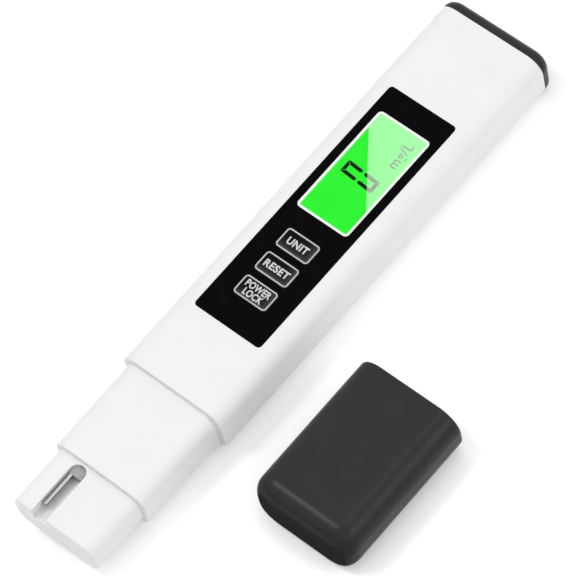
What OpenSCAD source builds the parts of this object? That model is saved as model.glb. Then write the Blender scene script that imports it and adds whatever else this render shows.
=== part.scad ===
// Digital water tester lying on its back, with its protective cap set down beside it.
// +X runs along the tester to its battery end, +Z is up through the display, +Y is to the left
// of the display when the battery end is up. The origin is the middle of the housing's underside.

/* [Housing] */
// Length of the white tube between the shoulder and the battery cap
body_l = 113.2; // [108:0.2:120]
// Width of the tube
body_w = 29.8; // [29:0.1:31]
// Thickness of the tube
body_t = 13.9; // [13.5:0.1:15]
// Corner radius of the tube's section
body_r = 4.4; // [3.5:0.1:5]
// Wall thickness of the tube
wall = 1.6; // [1.4:0.1:1.7]

/* [Front panel] */
// Length of the black front panel
panel_l = 69.8; // [68:0.1:72]
// Width of the black front panel
panel_w = 19.5; // [19:0.1:20]
// Corner radius of the front panel
panel_r = 1.0; // [0.5:0.1:1.5]
// Thickness of the front panel sheet
panel_t = 0.45; // [0.4:0.05:0.5]
// Depth of the recess that the panel lies in
recess = 0.35; // [0.2:0.05:0.4]
// Panel's centre along the tube
panel_x = -2.5; // [-4:0.1:0]

/* [Display] */
// Length of the window, with its white border
window_l = 30.2; // [29:0.1:31]
// Width of the window, with its white border
window_w = 15.0; // [14:0.1:15.2]
// Width of the white border line
border = 0.8; // [0.5:0.1:1]
// Outer corner radius of the white border
window_r = 1.1; // [0.5:0.1:1.2]
// Window's centre along the tube
window_x = 10.75; // [10:0.05:11]

/* [Keys] */
// Size of a key along the tube
key_l = 5.0; // [4.6:0.1:5.2]
// Size of a key across the tube
key_w = 9.1; // [8.6:0.1:9.6]
// Distance from one key to the next
key_pitch = 7.35; // [7.2:0.05:7.5]
// Centre of the key nearest the display
key_first_x = -12.3; // [-12.6:0.1:-12]
// How far a key stands above the front panel
key_rise = 0.3; // [0.2:0.05:0.4]
// Travel of a key
key_travel = 0.3; // [0.2:0.05:0.3]

/* [Probe] */
// Length of the collar that the protective cap slides over
collar_l = 24.9; // [24:0.1:26]
// Width of the collar
collar_w = 26.4; // [26:0.1:26.5]
// Thickness of the collar
collar_t = 11.9; // [11.6:0.1:12]
// Length of the tip
tip_l = 15.7; // [15:0.1:16]
// Width of the tip
tip_w = 24.0; // [23.5:0.1:24.5]
// Thickness of the tip
tip_t = 9.2; // [9:0.1:9.6]
// Width of the electrode channels
channel_w = 3.9; // [3.6:0.1:4]
// Depth of the electrode channels
channel_d = 3.0; // [2.6:0.1:3]
// Place of the channels across the tip
channel_y = 3.9; // [3.5:0.1:4.5]
// Place of the electrode pins across the tip, close to the channels' left walls
pin_y = 5.1; // [4.7:0.1:5.1]
// Diameter of the electrode pins
pin_d = 1.3; // [1.2:0.1:1.4]

/* [Battery end] */
// Thickness of the black battery cap's outer plate
end_cap_l = 3.0; // [2.8:0.1:3.4]
// Diameter of a button cell
cell_d = 11.6; // [11.6:0.1:11.6]
// Height of a button cell
cell_h = 5.4; // [5.4:0.1:5.4]

/* [Protective cap] */
// Length of the protective cap
cap_l = 39.8; // [39.6:0.1:40.6]
// Width of the protective cap
cap_w = 28.4; // [28.4:0.1:29.2]
// Thickness of the protective cap
cap_t = 13.5; // [13.5:0.1:14]
// Corner radius of the protective cap
cap_r = 5.5; // [5:0.1:5.5]
// Thickness of the cap's closed end
cap_end = 1.4; // [1.2:0.1:1.6]
// Middle of the cap along the tube, where it is set down
cap_x = -44.5; // [-50:0.5:-40]
// Middle of the cap across, where it is set down
cap_y = -42.7; // [-50:0.1:-40]

/* [Hidden] */
$fn = 48;

// Levels through the thickness of the tester
mid_z = body_t / 2;
top_in = body_t - wall;
panel_z = body_t - recess;
panel_top = panel_z + panel_t;
inner_w = body_w - 2 * wall;
inner_t = body_t - 2 * wall;
inner_r = body_r - wall;
shoulder_x = -body_l / 2;
rim_x = body_l / 2;

// Display stack, from the front glass down to the circuit board
opening_l = 36.0;
opening_w = 16.6;
opening_x = 12.4;
opening_r = 0.6;
glass_t = 0.7;
film_t = 0.2;
diffuser_t = 1.8;
reflector_t = 0.3;
glass_l = 35.4;
glass_w = 16.2;
rear_glass_l = 31.8;
rear_glass_x = opening_x - (glass_l - rear_glass_l) / 2;
film_w = 15.4;
front_film_z = panel_z - 0.25;
front_glass_z = front_film_z - glass_t;
rear_glass_z = front_glass_z - glass_t;
rear_film_z = rear_glass_z - film_t;
diffuser_z = rear_film_z - diffuser_t;
reflector_z = diffuser_z - reflector_t;
diffuser_l = 29.4;
diffuser_w = 14.8;
diffuser_x = 11.3;
holder_pocket_l = 31.2;
holder_pocket_x = 10.5;
strip_x = 28.4;
strip_l = 2.2;
strip_w = 13.6;
led_l = 1.0;
led_w = 2.4;
led_t = 1.2;
led_x = diffuser_x - diffuser_l / 2 - led_l / 2 - 0.05;
led_y = 4.0;

// Circuit board and the chassis that carries it
board_t = 1.0;
board_top = 8.4;
board_z = board_top - board_t;
board_x0 = -47;
board_x1 = 33;
board_w = 24.0;
chassis_x0 = -50;
chassis_x1 = 36;
chassis_w = 26.2;
chassis_inside_w = 22.4;
chassis_z0 = 5.6;
chassis_z1 = 10.2;
end_bar = 6.0;
chassis_r = 0.8;
screw_d = 1.6;
screw_head_d = 3.0;
screw_head_t = 0.9;
screw_l = 3.2;
screw_x = board_x0 + 1.4;
screw_y = 8.5;
chip_l = 9.0;
chip_t = 1.5;
chip_x = 6.0;
crystal_x = -10.0;
crystal_d = 2.0;
crystal_l = 6.0;
resistor_l = 2.0;
resistor_w = 1.25;
resistor_t = 0.6;
resistor_row_x = -32.0;
resistor_pitch = 3.2;
capacitor_d = 4.0;
capacitor_h = 4.4;
capacitor_x = -24.0;

// Keys and their switches
key_r = 0.9;
key_gap = 0.15;
flange_margin = 0.55;
flange_t = 0.35;
flange_gap = 0.05;
flange_top = panel_z - flange_gap;
flange_z = flange_top - flange_t;
pocket_z = flange_z - key_travel - 0.05;
stem_d = 3.0;
stem_hole_d = 3.7;
stem_z = 11.6;
plunger_d = 2.8;
plunger_z = 9.6;
switch_w = 6.0;
switch_t = 2.2;
switch_bore_d = 3.8;
switch_floor = 0.6;
dome_d = 3.6;
dome_t = 0.2;
cover_t = 0.25;
cover_hole_d = 3.4;
key_names = ["mode", "clear", "power"];

// Probe head
step_x = shoulder_x - collar_l;
tip_x = step_x - tip_l;
tip_z = 2.6;
collar_r = 3.6;
tip_r = 3.0;
plug_l = 5.6;
seal_t = 0.8;
seal_l = 1.2;
seal_x = shoulder_x + 2.2;
cavity_w = 21.0;
cavity_t = 7.9;
cavity_r = 1.6;
cavity_x = step_x + 2.0;
channel_end_x = step_x - 0.6;
channel_floor = tip_z + tip_t - channel_d;
pin_z_top = tip_z + tip_t - 1.7;
pin_z_low = tip_z + 1.7;
channel_lip = 1.4;
pin_x0 = tip_x + 3.1;
pin_x1 = cavity_x + 2.6;
sensor_y = -6.0;
sensor_d = 2.4;
sensor_l = 3.0;
sensor_x = tip_x + 3.2;
potting_l = 4.5;
lead_d = 0.9;
sensor_lead_d = 0.6;
lead_end_x = board_x0 + 2.0;
lead_bend_x = shoulder_x + 3.0;

// Battery drawer
drawer_gap = 0.15;
cap_plug_l = 3.6;
cap_plug_wall = 1.4;
tray_x0 = 39.8;
tray_x1 = rim_x - cap_plug_l;
tray_w = 25.4;
tray_z0 = 3.2;
tray_z1 = 10.4;
tray_r = 1.0;
cell_x = 46.4;
cell_y = 6.15;
cell_z = 4.2;
cell_pocket_d = 11.9;
cell_edge = 0.5;
link_t = 0.3;
link_l = 5.0;
finger_w = 3.0;
finger_t = 0.3;
finger_slot_w = 3.8;
finger_z = cell_z - 0.1 - finger_t;
finger_x1 = cell_x - 0.4;
finger_tail = 5.0;

// Protective cap
cap_inside_w = 26.6;
cap_inside_t = 12.1;
cap_inside_r = 4.0;
cap_end_r = 5.0;
cap_inside_plan_r = 3.0;
cap_inside_end_r = 3.6;

// Colours
white_shell = [0.93, 0.93, 0.93];
black_shell = [0.17, 0.17, 0.18];
panel_black = [0.05, 0.05, 0.05];
clear_pane = [0.85, 0.95, 0.9, 0.4];
display_green = [0.35, 0.9, 0.35];
board_green = [0.1, 0.4, 0.25];
steel = [0.72, 0.73, 0.75];
cream = [0.9, 0.88, 0.8];

// A rectangle with round corners, centred
module rounded(w, h, r) {
    square([w - 2 * r, h], center = true);
    square([w, h - 2 * r], center = true);
    for (sx = [-1, 1], sy = [-1, 1])
        translate([sx * (w / 2 - r), sy * (h / 2 - r)]) circle(r);
}

// A rounded bar along the tester from x0 to x1, w wide and t thick about the level z
module bar(x0, x1, w, t, r, z = mid_z, y = 0) {
    translate([x0, y, z]) rotate([90, 0, 90]) linear_extrude(x1 - x0) rounded(w, t, r);
}

// A flat piece, l long and w wide with round corners in plan, standing on the level z
module slab(l, w, t, r, x, z, y = 0) {
    translate([x, y, z]) linear_extrude(t) rounded(l, w, r);
}

// A plain block from x0 to x1, w wide about y, from z0 to z1
module block(x0, x1, w, z0, z1, y = 0) {
    translate([x0, y - w / 2, z0]) cube([x1 - x0, w, z1 - z0]);
}

// A round rod along X
module rod(x0, x1, d, y, z) {
    translate([x0, y, z]) rotate([0, 90, 0]) cylinder(d = d, h = x1 - x0);
}

// Direction of a wire at its point i: the mean of the stretches on both sides of it
function heading(points, i) =
    let (before = points[max(i - 1, 0)], after = points[min(i + 1, len(points) - 1)])
    (after - before) / norm(after - before);

// A wire of diameter d through points that lie in one plane of constant y
module wire(points, d) {
    sides = 8;
    last = len(points) - 1;
    rings = [for (i = [0 : last], k = [0 : sides - 1])
        let (along = heading(points, i), turn = 360 * k / sides)
        points[i] + d / 2 * (cos(turn) * [0, 1, 0] + sin(turn) * [-along[2], 0, along[0]])];
    walls = [for (i = [0 : last - 1], k = [0 : sides - 1])
        let (next = (k + 1) % sides)
        [i * sides + k, (i + 1) * sides + k, (i + 1) * sides + next, i * sides + next]];
    start = [for (k = [0 : sides - 1]) k];
    finish = [for (k = [0 : sides - 1]) last * sides + sides - 1 - k];
    polyhedron(points = rings, faces = concat(walls, [start, finish]));
}

function key_x(i) = key_first_x - i * key_pitch;

module housing() {
    color(white_shell) difference() {
        bar(shoulder_x, rim_x, body_w, body_t, body_r);
        bar(shoulder_x - 1, rim_x + 1, inner_w, inner_t, inner_r);
        slab(panel_l, panel_w, body_t, panel_r, panel_x, panel_z);
        slab(opening_l, opening_w, body_t, opening_r, opening_x, mid_z);
        for (i = [0 : 2]) {
            slab(key_l + 2 * flange_margin + 0.3, key_w + 2 * flange_margin + 0.3, body_t, key_r,
                key_x(i), pocket_z);
            translate([key_x(i), 0, mid_z]) cylinder(d = stem_hole_d, h = body_t);
        }
    }
}

module front_panel() {
    color(panel_black) difference() {
        slab(panel_l, panel_w, panel_t, panel_r, panel_x, panel_z);
        slab(window_l, window_w, body_t, window_r, window_x, mid_z);
        for (i = [0 : 2])
            slab(key_l + 2 * key_gap, key_w + 2 * key_gap, body_t, key_r + key_gap, key_x(i), mid_z);
    }
}

module window_border() {
    color("white") difference() {
        slab(window_l, window_w, panel_t, window_r, window_x, panel_z);
        slab(window_l - 2 * border, window_w - 2 * border, body_t, 0.2, window_x, mid_z);
    }
}

module window_lens() {
    color(clear_pane)
        slab(window_l - 2 * border, window_w - 2 * border, panel_t, 0.2, window_x, panel_z);
}

module front_polariser() {
    color(display_green) slab(rear_glass_l, film_w, film_t, 0.2, rear_glass_x, front_film_z);
}

module lcd_front_glass() {
    color(clear_pane) slab(glass_l, glass_w, glass_t, 0.2, opening_x, front_glass_z);
}

module lcd_rear_glass() {
    color(clear_pane) slab(rear_glass_l, glass_w, glass_t, 0.2, rear_glass_x, rear_glass_z);
}

module rear_polariser() {
    color(display_green) slab(diffuser_l, diffuser_w, film_t, 0.2, diffuser_x, rear_film_z);
}

module backlight_diffuser() {
    color(cream) slab(diffuser_l, diffuser_w, diffuser_t, 0.3, diffuser_x, diffuser_z);
}

module reflector_sheet() {
    color("white")
        slab(holder_pocket_l - 0.2, diffuser_w, reflector_t, 0.3, holder_pocket_x, reflector_z);
}

module backlight_leds() {
    color("khaki") for (side = [-1, 1])
        block(led_x - led_l / 2, led_x + led_l / 2, led_w, diffuser_z, diffuser_z + led_t,
            side * led_y);
}

module display_holder() {
    color(cream) difference() {
        slab(glass_l, glass_w, rear_glass_z - board_top, 0.4, opening_x, board_top);
        slab(holder_pocket_l, diffuser_w + 0.2, body_t, 0.3, holder_pocket_x, reflector_z);
        slab(strip_l, strip_w + 0.2, body_t, 0.1, strip_x, 0);
    }
}

module contact_strip() {
    color("dimgray")
        slab(strip_l - 0.1, strip_w, front_glass_z - board_top, 0.1, strip_x, board_top);
}

module circuit_board() {
    color(board_green) difference() {
        block(board_x0, board_x1, board_w, board_z, board_top);
        for (side = [-1, 1])
            translate([screw_x, side * screw_y, 0]) cylinder(d = screw_d + 0.3, h = body_t);
    }
}

module controller_chip() {
    color("black") block(chip_x - chip_l / 2, chip_x + chip_l / 2, chip_l, board_z - chip_t, board_z);
}

module clock_crystal() {
    color(steel)
        rod(crystal_x, crystal_x + crystal_l, crystal_d, 5, board_z - crystal_d / 2);
}

module board_components() {
    color("tan") {
        for (i = [0 : 3], side = [-1, 1])
            block(resistor_row_x - i * resistor_pitch, resistor_row_x - i * resistor_pitch + resistor_l,
                resistor_w, board_z - resistor_t, board_z, side * 5);
        translate([capacitor_x, -4, board_z - capacitor_h])
            cylinder(d = capacitor_d, h = capacitor_h);
    }
}

module chassis() {
    color(cream) difference() {
        bar(chassis_x0, chassis_x1, chassis_w, chassis_z1 - chassis_z0, chassis_r,
            (chassis_z0 + chassis_z1) / 2);
        block(chassis_x0 + end_bar, board_x1 + 0.2, chassis_inside_w, 0, body_t);
        block(board_x0, board_x1 + 0.2, board_w + 0.2, board_z, board_top + 0.02);
        block(chassis_x0 - 1, chassis_x0 + end_bar + 1, chassis_inside_w, board_z, body_t);
        block(chassis_x0 - 1, chassis_x0 + end_bar + 1, 2 * lead_d, 0, board_z, pin_y);
        for (side = [-1, 1]) {
            translate([screw_x, side * screw_y, 0]) cylinder(d = screw_d, h = board_z);
            block(board_x1, chassis_x1 + 1, finger_w + 0.2, 0, board_z, side * cell_y);
        }
    }
}

module board_screws() {
    color(steel) for (side = [-1, 1]) translate([screw_x, side * screw_y, 0]) {
        translate([0, 0, board_top]) cylinder(d = screw_head_d, h = screw_head_t);
        translate([0, 0, board_top - screw_l + 0.4]) cylinder(d = screw_d, h = screw_l - 0.4);
    }
}

module switch_bases() {
    color("black") for (i = [0 : 2]) difference() {
        slab(switch_w, switch_w, switch_t, 0.3, key_x(i), board_top);
        translate([key_x(i), 0, board_top + switch_floor]) cylinder(d = switch_bore_d, h = body_t);
    }
}

module switch_domes() {
    color(steel) for (i = [0 : 2])
        translate([key_x(i), 0, board_top + switch_floor]) cylinder(d = dome_d, h = dome_t);
}

module switch_covers() {
    color(steel) for (i = [0 : 2]) difference() {
        slab(switch_w, switch_w, cover_t, 0.3, key_x(i), board_top + switch_t);
        translate([key_x(i), 0, mid_z]) cylinder(d = cover_hole_d, h = body_t);
    }
}

// A key with the flange that holds it under the front panel, and its stem
module key_button(i) {
    color(panel_black) {
        slab(key_l, key_w, panel_top + key_rise - flange_top, key_r, key_x(i), flange_top);
        slab(key_l + 2 * flange_margin, key_w + 2 * flange_margin, flange_t, key_r, key_x(i), flange_z);
        translate([key_x(i), 0, stem_z]) cylinder(d = stem_d, h = flange_z - stem_z);
    }
}

// The plunger of the switch under a key
module key_plunger(i) {
    color("dimgray") translate([key_x(i), 0, plunger_z]) cylinder(d = plunger_d, h = stem_z - plunger_z);
}

module mode_key() { key_button(0); }
module clear_key() { key_button(1); }
module power_key() { key_button(2); }
module mode_plunger() { key_plunger(0); }
module clear_plunger() { key_plunger(1); }
module power_plunger() { key_plunger(2); }

// A battery contact: a finger under the cell, a post, and a tail soldered under the board
module battery_contact(y) {
    color(steel) {
        block(chassis_x1, finger_x1, finger_w, finger_z, finger_z + finger_t, y);
        block(chassis_x1 - finger_t, chassis_x1, finger_w, finger_z, board_z, y);
        block(chassis_x1 - finger_tail, chassis_x1, finger_w, board_z - finger_t, board_z, y);
    }
}

module battery_contact_positive() { battery_contact(cell_y); }
module battery_contact_negative() { battery_contact(-cell_y); }

// An electrode channel from x0 to its inner end, round at both ends, cut up from the level z
module channel(x0, z, depth) {
    slab(channel_end_x - x0, channel_w, depth, channel_w / 2 - 0.05, (x0 + channel_end_x) / 2, z,
        channel_y);
}

module probe_head() {
    color(white_shell) difference() {
        union() {
            bar(step_x, shoulder_x, collar_w, collar_t, collar_r);
            bar(tip_x, step_x, tip_w, tip_t, tip_r, tip_z + tip_t / 2);
            bar(shoulder_x, shoulder_x + plug_l, inner_w, inner_t, inner_r);
        }
        bar(cavity_x, shoulder_x + plug_l + 1, cavity_w, cavity_t, cavity_r);
        difference() {
            bar(seal_x, seal_x + seal_l, inner_w + 1, inner_t + 1, inner_r);
            bar(seal_x - 1, seal_x + seal_l + 1, inner_w - 2 * seal_t, inner_t - 2 * seal_t,
                inner_r - seal_t);
        }
        channel(tip_x - channel_w, channel_floor, body_t);
        channel(tip_x + channel_lip, 0, tip_z + channel_d);
        for (z = [pin_z_top, pin_z_low]) rod(pin_x0, cavity_x + 1, pin_d, pin_y, z);
        rod(sensor_x, cavity_x + 1, sensor_d, sensor_y, mid_z);
    }
}

module electrode_pins() {
    color(steel) for (z = [pin_z_top, pin_z_low]) rod(pin_x0, pin_x1, pin_d, pin_y, z);
}

module temperature_sensor() {
    color("black") rod(sensor_x, sensor_x + sensor_l, sensor_d, sensor_y, mid_z);
}

module potting_plug() {
    color("dimgray") difference() {
        bar(cavity_x, cavity_x + potting_l, cavity_w, cavity_t, cavity_r);
        for (z = [pin_z_top, pin_z_low]) {
            rod(cavity_x - 1, pin_x1, pin_d, pin_y, z);
            rod(pin_x1 - 1, cavity_x + potting_l + 1, lead_d, pin_y, z);
        }
        for (side = [-1, 1])
            rod(cavity_x - 1, cavity_x + potting_l + 1, sensor_lead_d, sensor_y + side * 0.5, mid_z);
    }
}

module electrode_leads() {
    color("firebrick") for (i = [0, 1])
        wire([[pin_x1, pin_y, i == 0 ? pin_z_top : pin_z_low],
            [lead_bend_x, pin_y, i == 0 ? pin_z_top : pin_z_low],
            [lead_bend_x + 4, pin_y, i == 0 ? board_top + lead_d / 2 : board_z - lead_d / 2],
            [lead_end_x, pin_y, i == 0 ? board_top + lead_d / 2 : board_z - lead_d / 2]], lead_d);
}

module sensor_leads() {
    color("navy") for (side = [-1, 1])
        wire([[sensor_x + sensor_l, sensor_y + side * 0.5, mid_z],
            [lead_bend_x, sensor_y + side * 0.5, mid_z],
            [lead_bend_x + 4, sensor_y + side * 0.5, board_top + sensor_lead_d / 2],
            [lead_end_x, sensor_y + side * 0.5, board_top + sensor_lead_d / 2]], sensor_lead_d);
}

module probe_seal() {
    color("black") difference() {
        bar(seal_x, seal_x + seal_l, inner_w, inner_t, inner_r);
        bar(seal_x - 1, seal_x + seal_l + 1, inner_w - 2 * seal_t, inner_t - 2 * seal_t,
            inner_r - seal_t);
    }
}

module battery_cap() {
    color(black_shell) {
        bar(rim_x, rim_x + end_cap_l, body_w, body_t, body_r);
        difference() {
            bar(tray_x1, rim_x, inner_w - 2 * drawer_gap, inner_t - 2 * drawer_gap, inner_r - drawer_gap);
            bar(tray_x1 - 1, rim_x, inner_w - 2 * cap_plug_wall - 2 * seal_t,
                inner_t - 2 * cap_plug_wall - 2 * seal_t, 0.8);
            difference() {
                bar(rim_x - 2 * seal_l, rim_x - seal_l, inner_w + 1, inner_t + 1, inner_r);
                bar(rim_x - 2 * seal_l - 1, rim_x, inner_w - 2 * seal_t, inner_t - 2 * seal_t,
                    inner_r - seal_t);
            }
        }
    }
}

module battery_cap_seal() {
    color("black") difference() {
        bar(rim_x - 2 * seal_l, rim_x - seal_l, inner_w - 0.1, inner_t - 0.1, inner_r);
        bar(rim_x - 2 * seal_l - 1, rim_x, inner_w - 2 * seal_t, inner_t - 2 * seal_t, inner_r - seal_t);
    }
}

module battery_tray() {
    color(black_shell) difference() {
        bar(tray_x0, tray_x1, tray_w, tray_z1 - tray_z0, tray_r, (tray_z0 + tray_z1) / 2);
        for (side = [-1, 1]) {
            translate([cell_x, side * cell_y, cell_z]) cylinder(d = cell_pocket_d, h = body_t);
            block(tray_x0 - 1, cell_x + 3, finger_slot_w, 0, cell_z + 1, side * cell_y);
        }
        block(cell_x - link_l / 2 - 0.2, cell_x + link_l / 2 + 0.2, 2 * cell_y, cell_z + cell_h, body_t);
    }
}

module button_cells() {
    color(steel) for (side = [-1, 1]) translate([cell_x, side * cell_y, cell_z]) {
        translate([0, 0, side > 0 ? 0 : cell_edge]) cylinder(d = cell_d, h = cell_h - cell_edge);
        cylinder(d = cell_d - 2, h = cell_h);
    }
}

module cell_link() {
    color(steel)
        slab(link_l, 2 * cell_y + 6, link_t, 0.5, cell_x, cell_z + cell_h);
}

// A rounded bar from x0 on, whose end at x0 is also rounded in plan and over its thickness
module blind_bar(x0, l, w, t, r, plan_r, end_r) {
    intersection() {
        bar(x0, x0 + l, w, t, r, cap_t / 2);
        slab(2 * l, w, cap_t + 2, plan_r, x0 + l, -1);
        translate([x0 + l, w, cap_t / 2]) rotate([90, 0, 0]) linear_extrude(2 * w) rounded(2 * l, t, end_r);
    }
}

module protective_cap() {
    inside_x = cap_end - cap_l / 2;
    color(black_shell) translate([cap_x, cap_y, 0]) difference() {
        blind_bar(-cap_l / 2, cap_l, cap_w, cap_t, cap_r, cap_end_r, cap_end_r);
        blind_bar(inside_x, cap_l, cap_inside_w, cap_inside_t, cap_inside_r, cap_inside_plan_r,
            cap_inside_end_r);
    }
}

housing();
front_panel();
window_border();
window_lens();
front_polariser();
lcd_front_glass();
lcd_rear_glass();
rear_polariser();
backlight_diffuser();
reflector_sheet();
backlight_leds();
display_holder();
contact_strip();
circuit_board();
controller_chip();
clock_crystal();
board_components();
chassis();
board_screws();
switch_bases();
switch_domes();
switch_covers();
battery_contact_positive();
battery_contact_negative();
mode_key();
mode_plunger();
clear_key();
clear_plunger();
power_key();
power_plunger();
probe_head();
electrode_pins();
temperature_sensor();
potting_plug();
electrode_leads();
sensor_leads();
probe_seal();
battery_cap();
battery_cap_seal();
battery_tray();
button_cells();
cell_link();
protective_cap();
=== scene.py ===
"""Looks of a hand-held digital water tester, with its protective cap set down beside it.

The tester lies on its back along X, with its battery end at +X and its electrode tip at -X.
All lengths are in metres, and places come from the frame's own nodes.
"""
import math

import bmesh
import bpy
from mathutils import Matrix, Vector


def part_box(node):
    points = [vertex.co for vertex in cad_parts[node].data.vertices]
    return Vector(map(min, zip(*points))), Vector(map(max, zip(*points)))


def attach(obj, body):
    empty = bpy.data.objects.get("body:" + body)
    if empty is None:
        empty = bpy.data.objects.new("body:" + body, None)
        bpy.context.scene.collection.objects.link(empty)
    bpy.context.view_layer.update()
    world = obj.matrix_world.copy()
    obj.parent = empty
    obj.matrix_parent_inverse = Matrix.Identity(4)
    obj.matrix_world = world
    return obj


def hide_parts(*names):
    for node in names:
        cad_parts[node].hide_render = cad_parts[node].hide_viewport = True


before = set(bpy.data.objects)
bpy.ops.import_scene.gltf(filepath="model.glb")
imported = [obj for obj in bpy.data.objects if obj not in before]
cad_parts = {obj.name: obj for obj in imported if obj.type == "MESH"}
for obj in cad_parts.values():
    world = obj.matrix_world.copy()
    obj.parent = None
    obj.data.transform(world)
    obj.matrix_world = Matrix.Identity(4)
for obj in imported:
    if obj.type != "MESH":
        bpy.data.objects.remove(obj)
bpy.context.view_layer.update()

MM = 0.001

# Fillets and line widths of the mouldings and prints
SECTION_SEGMENTS = 12
BODY_CORNER = 4.4 * MM
COLLAR_CORNER = 3.6 * MM
TIP_CORNER = 3.0 * MM
SHOULDER_FILLET = 0.55 * MM
STEP_FILLET = 0.4 * MM
JOINT_FILLET = 0.12 * MM
END_FILLET = 2.5 * MM
CAP_CORNER = 5.5 * MM
CAP_END = Vector((3.9, 5.0, 1.8)) * MM
CAP_MOUTH = Vector((0.9, 0.45, 0.45)) * MM
CAP_DRAFT = Vector((0.35, 0, 0)) * MM
CAP_WALL = Vector((1.4, 0.9, 0.7)) * MM
CAP_INSIDE_CORNER = 4.0 * MM
CAP_INSIDE_END = Vector((3.2, 4.1, 1.6)) * MM
PANEL_CORNER = 1.0 * MM
PANEL_FILLET = 0.12 * MM
WINDOW_CORNER = 1.1 * MM
KEY_CORNER = 0.9 * MM
KEY_FILLET = 0.12 * MM
KEY_GAP = 0.15 * MM
LINE_WIDTH = 0.36 * MM
BORDER_WIDTH = 0.58 * MM
PRINT_THICKNESS = 0.03 * MM
CHANNEL_WIDTH = 4.25 * MM
CHANNEL_DEPTH = 3.2 * MM
SEAL_DEPTH = 0.75 * MM
SEAL_LENGTH = 2.8 * MM
CHANNEL_SOFTNESS = 0.12 * MM

FLOOR_GLOW = 0.125

# Charcoal plastic, and where the cap's foot fades to its full sheen, from the cap's low corner
CHARCOAL = (0.0240, 0.0240, 0.0252)
CHARCOAL_ROUGHNESS = 0.30
CHARCOAL_SHEEN = 0.13
FOOT_LENGTH = 1 * MM
FOOT_LENGTH_FADE = 5 * MM
FOOT_HEIGHT = 10 * MM
FOOT_HEIGHT_FADE = 2 * MM


# --- Modelling by hand -------------------------------------------------------------------------

def activate(piece):
    """Only this piece is selected, so an operator acts on it alone."""
    bpy.ops.object.select_all(action="DESELECT")
    piece.select_set(True)
    bpy.context.view_layer.objects.active = piece


def settle(piece):
    """Puts the piece's place, turn and size in its mesh."""
    activate(piece)
    bpy.ops.object.transform_apply(location=True, rotation=True, scale=True)
    return piece


def block(name, low, high):
    """A box between its lowest and its highest corner."""
    bpy.ops.object.select_all(action="DESELECT")
    bpy.ops.mesh.primitive_cube_add(size=1, location=(Vector(low) + Vector(high)) / 2)
    piece = bpy.context.object
    piece.name = name
    piece.scale = Vector(high) - Vector(low)
    return settle(piece)


def rod(name, start, end, radius, sides=32):
    """A round rod along X, Y or Z from one point to another."""
    start, end = Vector(start), Vector(end)
    bpy.ops.object.select_all(action="DESELECT")
    bpy.ops.mesh.primitive_cylinder_add(vertices=sides, radius=radius, depth=(end - start).length,
                                        location=(start + end) / 2)
    piece = bpy.context.object
    piece.name = name
    piece.rotation_mode = "QUATERNION"
    piece.rotation_quaternion = (end - start).to_track_quat("Z", "Y")
    return settle(piece)


def bevel_where(piece, chosen, width, segments):
    """Rounds the edges whose two ends pass the test chosen(a, b)."""
    activate(piece)
    bpy.ops.object.mode_set(mode="EDIT")
    bpy.ops.mesh.select_mode(type="EDGE")
    bpy.ops.mesh.select_all(action="DESELECT")
    form = bmesh.from_edit_mesh(piece.data)
    for edge in form.edges:
        edge.select_set(chosen(edge.verts[0].co, edge.verts[1].co))
    bmesh.update_edit_mesh(piece.data)
    bpy.ops.mesh.bevel(offset=width, segments=segments, profile=0.5, affect="EDGES")
    bpy.ops.object.mode_set(mode="OBJECT")


def along(axis):
    """A test for edges that run along an axis."""
    return lambda a, b: abs((b - a)[axis]) > 0.99 * (b - a).length


def level(axis, place):
    """A test for edges that lie at one place on an axis."""
    return lambda a, b: abs(a[axis] - place) < 1e-6 and abs(b[axis] - place) < 1e-6


def rounded_bar(name, low, high, corner, axis=0, segments=SECTION_SEGMENTS):
    """A bar whose section across the axis has round corners."""
    piece = block(name, low, high)
    bevel_where(piece, along(axis), corner, segments)
    return piece


def rim(piece, axis, place, width, segments=4):
    """Rounds the rim of a bar's end."""
    bevel_where(piece, level(axis, place), width, segments)


def apply_modifier(piece, kind, **settings):
    """Adds a modifier with its settings and applies it."""
    change = piece.modifiers.new(kind.lower(), kind)
    for setting, value in settings.items():
        setattr(change, setting, value)
    activate(piece)
    bpy.ops.object.modifier_apply(modifier=change.name)


def carve(piece, *cutters):
    """Takes the cutters' shapes out of the piece."""
    for cutter in cutters:
        apply_modifier(piece, "BOOLEAN", operation="DIFFERENCE", solver="EXACT", object=cutter)
        bpy.data.objects.remove(cutter)


def fuse(piece, *others):
    """Makes one solid of the piece and the others."""
    for other in others:
        apply_modifier(piece, "BOOLEAN", operation="UNION", solver="EXACT", object=other)
        bpy.data.objects.remove(other)


def soften(piece, width, segments=2, angle=50):
    """Rounds every edge sharper than the angle."""
    apply_modifier(piece, "BEVEL", width=width, segments=segments, limit_method="ANGLE",
                   angle_limit=math.radians(angle))


def smooth(piece, angle=35):
    """Smooth shading that keeps flat faces flat."""
    activate(piece)
    bpy.ops.object.mode_set(mode="EDIT")
    bpy.ops.mesh.select_all(action="SELECT")
    bpy.ops.mesh.remove_doubles(threshold=1e-6)
    bpy.ops.mesh.normals_make_consistent(inside=False)
    bpy.ops.object.mode_set(mode="OBJECT")
    bpy.ops.object.shade_smooth_by_angle(angle=math.radians(angle))
    apply_modifier(piece, "WEIGHTED_NORMAL", keep_sharp=True, weight=80)


def install(piece, body, material, stands_for=()):
    """Gives a finished piece its material, its body, and the CAD nodes that it stands for."""
    piece.data.materials.clear()
    piece.data.materials.append(material)
    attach(piece, body)
    if stands_for:
        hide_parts(*stands_for)
    return piece


def twin(piece, name, shift):
    """A copy of a piece with its own mesh, moved by shift."""
    copy = piece.copy()
    copy.data = piece.data.copy()
    copy.name = name
    bpy.context.scene.collection.objects.link(copy)
    copy.data.transform(Matrix.Translation(shift))
    return copy


# --- Finishes ----------------------------------------------------------------------------------

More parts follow.
